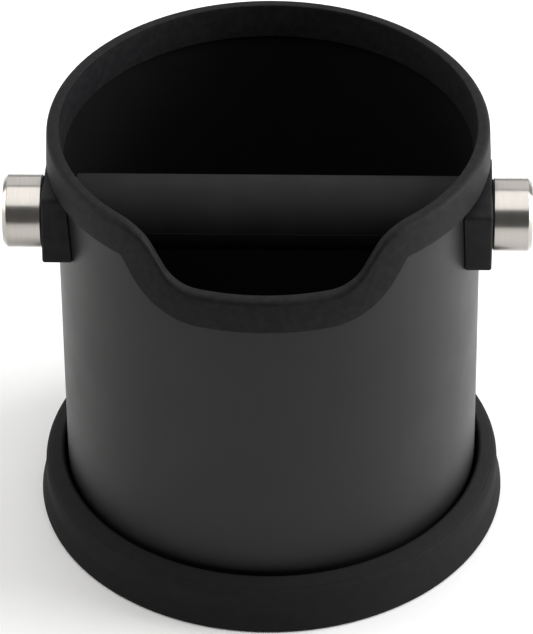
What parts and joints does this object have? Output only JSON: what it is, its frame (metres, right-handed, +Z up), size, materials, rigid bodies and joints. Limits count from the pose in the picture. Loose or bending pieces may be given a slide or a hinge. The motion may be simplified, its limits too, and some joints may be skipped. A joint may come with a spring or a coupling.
{
  "type": "espresso knock box",
  "caption": "Round black can with a rubber-sleeved knock bar, a soft rim gasket that dips in front, stainless end caps and a thick rubber base boot.",
  "frame": {"origin": "on the ground, under the middle of the can and its base boot", "axes": "+Z up, +X to the right along the knock bar, -Y to the front, where the rim dips"},
  "size_m": [0.173, 0.159, 0.1524],
  "materials": {
    "can_paint": "matte black",
    "gasket_rubber": "matte silicone",
    "boot_rubber": "matte silicone",
    "block_rubber": "matte moulded",
    "sleeve_rubber": "satin",
    "washer_nylon": "matte black",
    "bar_steel": "machined",
    "cap_steel": "turned, satin"
  },
  "bodies": {
    "base": {"base_boot": "boot_rubber"},
    "can": {"can_shell": "can_paint", "left_mount_block": "block_rubber", "right_mount_block": "block_rubber"},
    "gasket": {"rim_gasket": "gasket_rubber"},
    "knock_bar": {"bar_core": "bar_steel", "bar_sleeve": "sleeve_rubber", "left_insert": "bar_steel", "right_insert": "bar_steel", "left_washer": "washer_nylon", "right_washer": "washer_nylon"},
    "left_ring": {"left_lock_ring": "block_rubber"},
    "left_cap": {"left_end_cap": "cap_steel", "left_stud": "bar_steel"},
    "right_ring": {"right_lock_ring": "block_rubber"},
    "right_cap": {"right_end_cap": "cap_steel", "right_stud": "bar_steel"}
  },
  "joints": [
    {"name": "can_lift", "type": "slide", "parent": "base", "child": "can", "axis": [0, 0, 1], "range_m": [0, 0.03]},
    {"name": "gasket_pull", "type": "slide", "parent": "can", "child": "gasket", "axis": [0, 0, 1], "range_m": [0, 0.04]},
    {"name": "bar_turn", "type": "hinge", "parent": "can", "child": "knock_bar", "pos_m": [0, -0.013, 0.1253], "axis": [1, 0, 0], "continuous": true},
    {"name": "left_cap_out", "type": "slide", "parent": "knock_bar", "child": "left_ring", "axis": [-1, 0, 0], "range_m": [0, 0.0125]},
    {"name": "left_cap_turn", "type": "hinge", "parent": "left_ring", "child": "left_cap", "pos_m": [0, -0.013, 0.1253], "axis": [-1, 0, 0], "range_deg": [0, 3600]},
    {"name": "right_cap_out", "type": "slide", "parent": "knock_bar", "child": "right_ring", "axis": [1, 0, 0], "range_m": [0, 0.0125]},
    {"name": "right_cap_turn", "type": "hinge", "parent": "right_ring", "child": "right_cap", "pos_m": [0, -0.013, 0.1253], "axis": [1, 0, 0], "range_deg": [0, 3600]}
  ],
  "couplings": [
    {"joint": "left_cap_turn", "follows": "left_cap_out", "rad_per_m": 5026.5},
    {"joint": "right_cap_turn", "follows": "right_cap_out", "rad_per_m": 5026.5}
  ]
}
